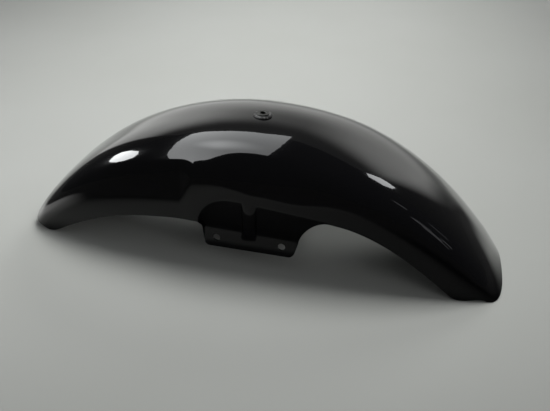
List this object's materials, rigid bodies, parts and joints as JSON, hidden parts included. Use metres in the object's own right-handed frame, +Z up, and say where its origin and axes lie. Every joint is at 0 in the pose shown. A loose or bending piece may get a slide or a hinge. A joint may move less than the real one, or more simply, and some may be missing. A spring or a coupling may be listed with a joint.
{
  "type": "motorcycle front mudguard",
  "caption": "Pressed steel front mudguard for a motorcycle, gloss black, with a joggled bolt tab on each side and a grommet on the crown.",
  "frame": {"origin": "middle of the footprint, on the floor the two ends rest on", "axes": "+X along the length, towards the end with the shallower skirt; +Y across, the shell is a mirror image about Y = 0; +Z up"},
  "size_m": [0.5798, 0.1768, 0.169],
  "materials": {
    "black_paint": "gloss",
    "rubber": "matt",
    "plated_steel": "satin"
  },
  "bodies": {
    "root": {"mudguard": "black_paint", "crown_grommet": "rubber", "crown_collar": "plated_steel"}
  },
  "joints": []
}
